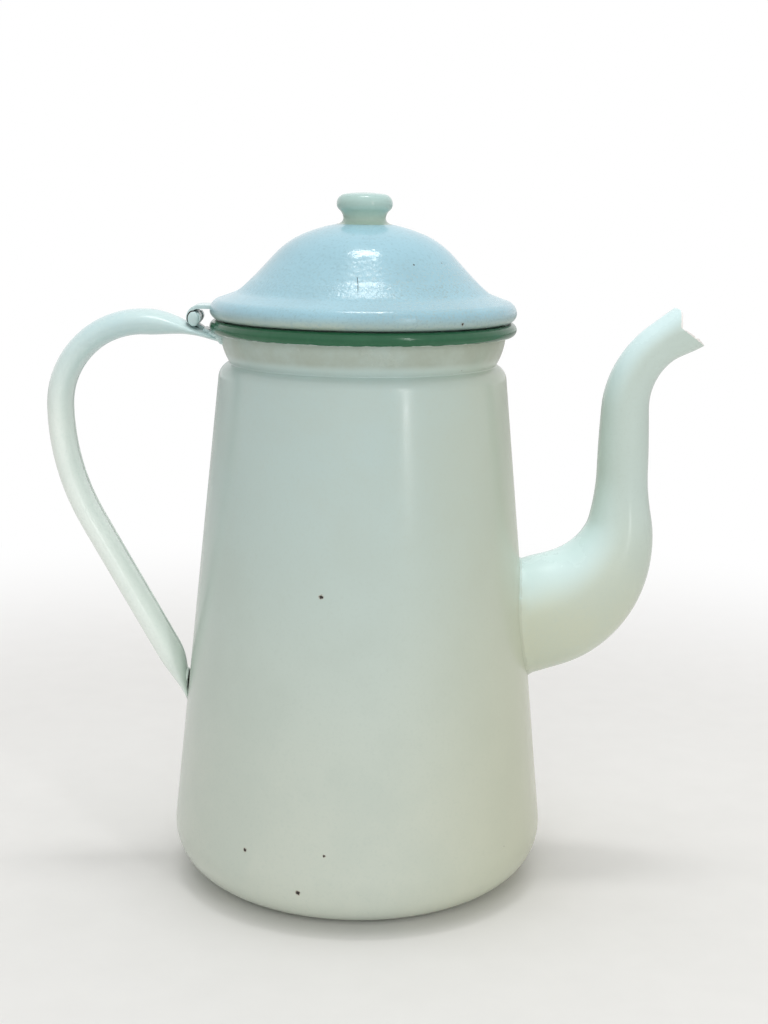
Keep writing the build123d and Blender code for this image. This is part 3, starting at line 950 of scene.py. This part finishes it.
def make_skin_group():
    """Fired enamel: cloudy colour, fine orange peel, and a gloss that age has dulled in patches."""
    group, given, result = new_group(
        "enamel skin",
        [
            ("Low Colour", "NodeSocketColor", (0.7, 0.7, 0.7, 1)),
            ("High Colour", "NodeSocketColor", (0.7, 0.7, 0.7, 1)),
            ("Low Height", "NodeSocketFloat", 0.0),
            ("High Height", "NodeSocketFloat", 0.2),
            ("Cloudiness", "NodeSocketFloat", 0.3),
            ("Cloud Colour", "NodeSocketColor", (0.6, 0.6, 0.6, 1)),
            ("Grain", "NodeSocketFloat", 0.2),
            ("Gloss Low", "NodeSocketFloat", 0.14),
            ("Gloss High", "NodeSocketFloat", 0.26),
            ("Peel Fineness", "NodeSocketFloat", 620.0),
            ("Waves", "NodeSocketFloat", 1.0),
        ],
        [("Colour", "NodeSocketColor"), ("Roughness", "NodeSocketFloat"), ("Height", "NodeSocketFloat")],
    )
    # Painted light and shade: the colour changes with height from the low to the high tone
    rise = step_mask(group, coordinates(group)[2], given["Low Height"], given["High Height"])
    colour = blend_colour(group, rise, given["Low Colour"], given["High Colour"])
    clouds = step_mask(group, noise(group, 32.0, 4.0), 0.38, 0.68)
    clouds = times(group, clouds, given["Cloudiness"])
    colour = blend_colour(group, clouds, colour, given["Cloud Colour"])
    grain = step_mask(group, noise(group, 900.0, 2.0), 0.5, 0.72)
    grain = times(group, grain, given["Grain"])
    colour = blend_colour(group, grain, colour, given["Cloud Colour"])
    dull = step_mask(group, noise(group, 70.0, 5.0, 0.65), 0.3, 0.7)
    roughness = blend_value(group, dull, given["Gloss Low"], given["Gloss High"])
    peel = times(group, noise(group, given["Peel Fineness"], 2.0, 0.5), 0.35)
    waves = times(group, noise(group, 110.0, 1.0, 0.5), given["Waves"])
    feed(group, result.inputs["Colour"], colour)
    feed(group, result.inputs["Roughness"], roughness)
    feed(group, result.inputs["Height"], plus(group, peel, waves))
    return group


def make_speck_group():
    """Pin holes and specks of soot under the glaze, one in some of the cells of a grid."""
    group, given, result = new_group(
        "specks",
        [
            ("Scale", "NodeSocketFloat", 90.0),
            ("Size", "NodeSocketFloat", 0.035),
            ("Share", "NodeSocketFloat", 0.3),
        ],
        [("Mask", "NodeSocketFloat")],
    )
    cells = put(group, "ShaderNodeTexVoronoi", {"Vector": object_place(group), "Scale": given["Scale"]})
    lottery = put(group, "ShaderNodeSeparateColor", {0: cells.outputs["Color"]}).outputs
    chosen = calculate(group, "LESS_THAN", lottery[0], given["Share"])
    size = times(group, given["Size"], plus(group, lottery[1], 0.3))
    dot = step_mask(group, cells.outputs["Distance"], size, times(group, size, 0.5))
    feed(group, result.inputs["Mask"], times(group, dot, chosen))
    return group


def make_chip_group():
    """Ragged chip: a bare core with a thin rusty rim round it."""
    group, given, result = new_group(
        "chip",
        [
            ("Centre", "NodeSocketVector", (0, 0, 0)),
            ("Radius", "NodeSocketFloat", 0.001),
            ("Raggedness", "NodeSocketFloat", 2.0),
        ],
        [("Core", "NodeSocketFloat"), ("Rim", "NodeSocketFloat")],
    )
    away = on_vectors(group, "DISTANCE", object_place(group), given["Centre"])["Value"]
    away = calculate(group, "DIVIDE", away, given["Radius"])
    bays = minus(group, noise(group, 1400.0, 4.0, 0.7), 0.5)
    away = plus(group, away, times(group, bays, given["Raggedness"]))
    feed(group, result.inputs["Core"], step_mask(group, away, 0.9, 0.7))
    feed(group, result.inputs["Rim"], step_mask(group, away, 1.35, 0.9))
    return group


def make_band_group():
    """Band beside an edge or a corner, up to a width, with its border broken up."""
    group, given, result = new_group(
        "ragged band",
        [
            ("Distance", "NodeSocketFloat", 0.0),
            ("Width", "NodeSocketFloat", 0.001),
            ("Raggedness", "NodeSocketFloat", 2.0),
            ("Fineness", "NodeSocketFloat", 900.0),
        ],
        [("Mask", "NodeSocketFloat")],
    )
    bays = noise(group, given["Fineness"], 3.0, 0.6)
    bays = times(group, minus(group, bays, 0.5), given["Raggedness"])
    share = plus(group, calculate(group, "DIVIDE", given["Distance"], given["Width"]), bays)
    feed(group, result.inputs["Mask"], step_mask(group, share, 1.15, 0.85))
    return group


# Materials


def new_material(name):
    material = bpy.data.materials.new(name)
    material.use_nodes = True
    material.node_tree.nodes.clear()
    return material, material.node_tree


def finish_material(tree, coat, depth, metallic=0.0):
    """Shader of a coat, which is its colour, gloss and height. The depth is a height of 1 in metres."""
    shade, roughness, height = coat
    bump = put(tree, "ShaderNodeBump", {"Height": height, "Strength": 1.0, "Distance": depth})
    sockets = {
        "Base Color": shade,
        "Roughness": roughness,
        "Metallic": metallic,
        "Normal": bump.outputs[0],
    }
    shader = put(tree, "ShaderNodeBsdfPrincipled", sockets)
    put(tree, "ShaderNodeOutputMaterial", {"Surface": shader.outputs[0]})


def over(tree, coat, mask, tone, roughness, relief=0.0):
    """The coat with another finish laid over it where the mask is 1, raised by its relief."""
    shade, gloss, height = coat
    shade = blend_colour(tree, mask, shade, paint(tone))
    gloss = blend_value(tree, mask, gloss, roughness)
    height = plus(tree, height, times(tree, mask, relief))
    return shade, gloss, height


def enamel(
    name, tones, heights, gloss, depth, clouds=0.3, grain=0.2, peel=620.0, waves=1.0, chips=(), layers=()
):
    """Enamel in a low, a high and a cloud tone. Each layer is a function that lays more over the coat."""
    material, tree = new_material(name)
    skin = place_group(
        tree,
        skin_group,
        {
            "Low Colour": paint(tones[0]),
            "High Colour": paint(tones[1]),
            "Cloud Colour": paint(tones[2]),
            "Low Height": heights[0],
            "High Height": heights[1],
            "Cloudiness": clouds,
            "Grain": grain,
            "Gloss Low": gloss[0],
            "Gloss High": gloss[1],
            "Peel Fineness": peel,
            "Waves": waves,
        },
    )
    coat = skin["Colour"], skin["Roughness"], skin["Height"]
    for layer in layers:
        coat = layer(tree, coat)
    specks = place_group(tree, speck_group, {"Scale": 95.0, "Size": 0.035, "Share": 0.25})["Mask"]
    coat = over(tree, coat, times(tree, specks, 0.55), SPECK, 0.4)
    for centre, radius in chips:
        chip = place_group(tree, chip_group, {"Centre": centre, "Radius": radius, "Raggedness": 2.0})
        coat = over(tree, coat, times(tree, chip["Rim"], 0.5), RUST, 0.6)
        coat = over(tree, coat, chip["Core"], BARE_IRON, 0.7, -3.0)
    finish_material(tree, coat, depth)
    return material


def ragged_band(tree, distance, width, raggedness, fineness):
    sockets = {"Distance": distance, "Width": width, "Raggedness": raggedness, "Fineness": fineness}
    return place_group(tree, band_group, sockets)["Mask"]


def warm_side_painted_light(tree, coat):
    """Painted light: the side towards the spout is warmer, as if lit by warmer light from there."""
    across = coordinates(tree)[0]
    share = times(tree, step_mask(tree, across, 0.0, BASE_RADIUS), 0.5)
    return over(tree, coat, share, WARM_SIDE_TINT, 0.22)


def lit_top_painted(tree, coat):
    """Painted light: faces that look up and back to the pot's wall are paler, as if lit from above."""
    facing = put(tree, "ShaderNodeTexCoord").outputs["Normal"]
    turned_there = on_vectors(tree, "DOT_PRODUCT", facing, TOP_LIGHT_FACING)["Value"]
    share = times(tree, step_mask(tree, turned_there, 0.45, 1.0), 0.75)
    return over(tree, coat, share, TOP_LIGHT_TINT, 0.3)


def neck_shade_and_grime(tree, coat):
    """Dull painted shade, with some grime, in the hollow of the neck under the rolled rim."""
    height = coordinates(tree)[2]
    inside = times(tree, step_mask(tree, height, *NECK_DARK_LOW), step_mask(tree, height, *NECK_DARK_HIGH))
    patches = step_mask(tree, noise(tree, 90.0, 4.0, 0.65), 0.2, 0.7)
    share = times(tree, inside, blend_value(tree, patches, 0.3, 0.6))
    return over(tree, coat, share, DARK_OLIVE_GREY, 0.3)


def green_rim(tree, coat):
    """Green enamel brushed over the rolled rim, wiped thin near the handle and opposite it."""
    place = coordinates(tree)
    wander = minus(tree, noise(tree, 220.0, 3.0), 0.5)
    wander = times(tree, wander, GREEN_WANDER)
    mask = 1
    for value, border in ((place[2], GREEN_FROM), (axis_radius(tree), GREEN_OUTSIDE)):
        edge = plus(tree, value, wander)
        mask = times(tree, step_mask(tree, edge, border - 0.0001, border + 0.0001), mask)
    coat = over(tree, coat, mask, GREEN, 0.16, 2.0)
    streaks = step_mask(tree, noise(tree, 260.0, 4.0, 0.7), 0.35, 0.75)
    coat = over(tree, coat, times(tree, streaks, mask), GREEN_CLOUD, 0.2)
    fade = step_mask(tree, calculate(tree, "ABSOLUTE", place[0]), *GREEN_FADE)
    worn = step_mask(tree, noise(tree, 420.0, 4.0, 0.7), 0.35, 0.6)
    fade = times(tree, times(tree, fade, worn), mask)
    return over(tree, coat, fade, GREEN_THIN, 0.35)


def worn_mouth(tree, coat):
    """Pale ground coat laid bare on the crumbled edge of the spout's mouth."""
    lower_lip, deepest, upper_edge, along = mouth_corners()[:4]
    distances = []
    for corner, step_out in ((lower_lip, LIP_WEAR), (upper_edge, 0)):
        edge = (corner - deepest).normalized()
        normal = Vector((-edge.y, edge.x))
        if normal.dot(along) > 0:
            normal.negate()
        distances.append(past_line(tree, deepest + along * step_out, normal))
    distance = calculate(tree, "MAXIMUM", *distances)
    mask = ragged_band(tree, distance, 0.0005, 1.6, 1500.0)
    return over(tree, coat, mask, GROUND_COAT, 0.5, -0.5)


def grey_corner(tree, coat):
    """A faint greyer band in the corner where the spout stands on the wall."""
    mask = ragged_band(tree, off_wall(tree), 0.0008, 1.4, 350.0)
    return over(tree, coat, times(tree, mask, 0.2), DARK_OLIVE_GREY, 0.35)


def cracked_foot(tree, coat):
    """Sooty crack between the handle's foot and the wall."""
    mask = ragged_band(tree, off_wall(tree), 0.0005, 2.0, 700.0)
    height = coordinates(tree)[2]
    upper = blend_value(tree, step_mask(tree, height, *CRACK_CLOSES), 0.3, 1.0)
    return over(tree, coat, times(tree, mask, upper), NEAR_BLACK, 0.8, -2.0)


def painted_seam_shade(tree, coat):
    """Painted shade: a dark seam round the drops on the ends of the hinge pin, on their outer side."""
    squash = PIN_HEAD_RADIUS / DROP_HEIGHT
    flat = on_vectors(tree, "MULTIPLY", object_place(tree), (1, 0, squash))["Vector"]
    middle = (pin_x, 0, (pin_z - DROP_HANG) * squash)
    out = on_vectors(tree, "DISTANCE", flat, middle)["Value"]
    off_seam = calculate(tree, "ABSOLUTE", minus(tree, out, PIN_HEAD_RADIUS + 0.0001))
    mask = ragged_band(tree, off_seam, 0.0002, 1.0, 900.0)
    across = coordinates(tree)[0]
    mask = times(tree, mask, step_mask(tree, across, pin_x + 0.0008, pin_x))
    return over(tree, coat, mask, NEAR_BLACK, 0.7, -1.0)


def pitted_slope(tree, coat):
    """Pits in the glaze of the lid's lower slope, most of them towards the spout."""
    place = coordinates(tree)
    low = step_mask(tree, place[2], *PITTED_BELOW)
    towards_spout = blend_value(tree, step_mask(tree, place[0], -0.010, 0.030), 0.25, 0.8)
    pits = step_mask(tree, noise(tree, 1300.0, 2.0, 0.5), 0.53, 0.64)
    mask = times(tree, times(tree, low, towards_spout), pits)
    return over(tree, coat, mask, PITS, 0.45, -0.15)


def grainy_slope(tree, coat):
    """A grainy belt low on the lid's slope, and a duller underside of its rolled edge."""
    shade, gloss, height = coat
    level = coordinates(tree)[2]
    belt = times(tree, step_mask(tree, level, *GRAINS_HIGH), step_mask(tree, level, *GRAINS_LOW))
    grains = times(tree, noise(tree, 800.0, 2.0, 0.5), belt)
    gloss = blend_value(tree, belt, gloss, 0.24)
    gloss = blend_value(tree, step_mask(tree, level, *DULL_BELOW), gloss, 0.30)
    return shade, gloss, plus(tree, height, times(tree, grains, 0.85))


def scratched(tree, coat):
    """One short dark scratch down the front of the lid."""
    away = on_vectors(tree, "SUBTRACT", object_place(tree), LID_SCRATCH)["Vector"]
    aside, behind, above = along_axes(tree, away)
    wobble = minus(tree, noise(tree, 500.0, 2.0), 0.5)
    aside = plus(tree, aside, times(tree, wobble, 0.0012))
    narrow = step_mask(tree, calculate(tree, "ABSOLUTE", aside), *SCRATCH_WIDTH)
    short = step_mask(tree, calculate(tree, "ABSOLUTE", above), *SCRATCH_LENGTH)
    front = calculate(tree, "LESS_THAN", calculate(tree, "ABSOLUTE", behind), 0.006)
    mask = times(tree, times(tree, narrow, short), front)
    return over(tree, coat, times(tree, mask, 0.75), NEAR_BLACK, 0.6, -0.3)


def wire_material():
    material, tree = new_material("rim wire")
    streaks = noise(tree, 400.0, 3.0)
    shade = blend_colour(tree, streaks, paint(STEEL), paint(RUST))
    finish_material(tree, (shade, 0.4, streaks), 0.00002, metallic=1.0)
    return material


def cover(piece, material):
    piece.data.materials.clear()
    piece.data.materials.append(material)


# Stage


def make_floor():
    """Pale matt floor, which fades to the white of the background for the camera."""
    bpy.ops.mesh.primitive_plane_add(size=8)
    floor = bpy.context.object
    floor.name = "floor"
    material, tree = new_material("pale floor")
    far = step_mask(tree, on_vectors(tree, "LENGTH", object_place(tree))["Value"], 0.22, 0.6)
    seen = times(tree, far, put(tree, "ShaderNodeLightPath").outputs["Is Camera Ray"])
    shade = blend_colour(tree, noise(tree, 60.0), (0.80, 0.79, 0.77, 1), (0.84, 0.83, 0.81, 1))
    matt = put(tree, "ShaderNodeBsdfPrincipled", {"Base Color": shade, "Roughness": 0.6})
    white = put(tree, "ShaderNodeEmission", {"Color": (1, 1, 1, 1), "Strength": 1.0})
    mixed = put(tree, "ShaderNodeMixShader", {0: seen, 1: matt.outputs[0], 2: white.outputs[0]})
    put(tree, "ShaderNodeOutputMaterial", {"Surface": mixed.outputs[0]})
    cover(floor, material)


def make_world():
    """White surroundings where they are seen or mirrored, and dimmer ones as a light."""
    world = bpy.data.worlds.new("studio")
    bpy.context.scene.world = world
    world.use_nodes = True
    tree = world.node_tree
    tree.nodes.clear()
    light_path = put(tree, "ShaderNodeLightPath").outputs
    shown = calculate(tree, "MAXIMUM", light_path["Is Camera Ray"], light_path["Is Glossy Ray"])
    shown = calculate(tree, "MAXIMUM", shown, light_path["Is Transmission Ray"])
    strength = put(tree, "ShaderNodeMapRange", {0: shown, 3: WORLD_LEVEL, 4: 1.0}).outputs[0]
    background = put(tree, "ShaderNodeBackground", {"Color": (1, 1, 1, 1), "Strength": strength})
    put(tree, "ShaderNodeOutputWorld", {"Surface": background.outputs[0]})


def make_lamps():
    for name, place, target, width, tall, power, shows in LAMPS:
        lamp = bpy.data.lights.new(name, "AREA")
        lamp.shape = "RECTANGLE"
        lamp.size = width
        lamp.size_y = tall
        lamp.energy = power
        holder = bpy.data.objects.new(name, lamp)
        holder.visible_glossy = shows
        bpy.context.scene.collection.objects.link(holder)
        facing = (Vector(target) - Vector(place)).to_track_quat("-Z", "Y")
        holder.matrix_world = Matrix.Translation(place) @ facing.to_matrix().to_4x4()


def make_camera():
    camera = bpy.data.cameras.new("camera")
    camera.sensor_fit = "VERTICAL"
    camera.sensor_height = 36
    camera.lens = FOCAL_LENGTH
    holder = bpy.data.objects.new("camera", camera)
    bpy.context.scene.collection.objects.link(holder)
    yaw = Matrix.Rotation(math.radians(-CAMERA_YAW), 4, "Z")
    pitch = Matrix.Rotation(math.radians(90 - CAMERA_PITCH), 4, "X")
    roll = Matrix.Rotation(math.radians(CAMERA_ROLL), 4, "Z")
    holder.matrix_world = Matrix.Translation(CAMERA_PLACE) @ yaw @ pitch @ roll
    bpy.context.scene.camera = holder


# Scene

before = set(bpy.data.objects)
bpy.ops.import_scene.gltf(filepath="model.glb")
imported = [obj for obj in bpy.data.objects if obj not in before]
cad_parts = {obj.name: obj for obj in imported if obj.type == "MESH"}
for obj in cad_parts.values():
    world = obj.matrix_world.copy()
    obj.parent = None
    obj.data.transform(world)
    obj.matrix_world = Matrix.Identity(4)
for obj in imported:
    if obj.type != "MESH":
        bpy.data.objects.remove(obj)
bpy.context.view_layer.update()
bpy.ops.object.select_all(action="DESELECT")
bpy.context.scene.view_settings.view_transform = "Standard"

tools = []
skin_group = make_skin_group()
speck_group = make_speck_group()
chip_group = make_chip_group()
band_group = make_band_group()

glaze = {"gloss": (0.14, 0.26), "depth": 0.00002}
wall_layers = [warm_side_painted_light, neck_shade_and_grime, green_rim]
wall_enamel = enamel(
    "body enamel with green rim", BODY_TONES, (0.0, 0.2), chips=BODY_CHIPS, layers=wall_layers, **glaze
)
spout_enamel = enamel(
    "spout enamel", SPOUT_TONES, (0.09, 0.15), layers=[lit_top_painted, grey_corner, worn_mouth], **glaze
)
handle_enamel = enamel("handle enamel", HANDLE_TONES, (0.17, 0.21), layers=[cracked_foot], **glaze)
hinge_enamel = enamel("hinge enamel", HANDLE_TONES, (0.17, 0.21), layers=[painted_seam_shade], **glaze)
lid_enamel = enamel(
    "lid enamel",
    LID_TONES,
    (0.2105, 0.2150),
    gloss=(0.12, 0.20),
    depth=0.0002,
    grain=0.4,
    peel=650.0,
    waves=0.1,
    chips=LID_CHIPS,
    layers=[pitted_slope, grainy_slope, scratched],
)
knob_enamel = enamel("knob enamel", KNOB_TONES, (0.245, 0.255), gloss=(0.09, 0.2), depth=0.00003)
wire = wire_material()

core = note_tool(pot_core())
finished = [
    # piece, material, node that it replaces, body that carries it, slot
    (make_base_pan(), wall_enamel, ["base_pan"], "pot", "body_enamel"),
    (make_body_wall(), wall_enamel, ["body_wall"], "pot", "body_enamel"),
    (make_rim_wire(), wire, ["rim_wire"], "pot", "bare_steel"),
    (make_spout(core), spout_enamel, ["spout_right_half", "spout_left_half"], "pot", "body_enamel"),
    (make_handle(core), handle_enamel, ["handle"], "pot", "handle_enamel"),
    (make_hinge_bracket(), hinge_enamel, ["hinge_bracket"], "pot", "body_enamel"),
    (make_lid_dome(), lid_enamel, ["lid_dome"], "lid", "lid_enamel"),
    (make_lid_collar(), lid_enamel, ["lid_collar"], "lid", "lid_enamel"),
    (make_lid_knob(), knob_enamel, ["lid_knob"], "lid", "knob_enamel"),
    (make_hinge_leaf(), hinge_enamel, ["hinge_leaf"], "lid", "lid_enamel"),
    (make_hinge_pin(), hinge_enamel, ["hinge_pin"], "lid", "handle_enamel"),
]
for piece, material, nodes, body, slot in finished:
    cover(piece, material)
    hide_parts(*nodes)
    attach(piece, body)
for tool in tools:
    bpy.data.objects.remove(tool)

make_floor()
make_world()
make_lamps()
make_camera()
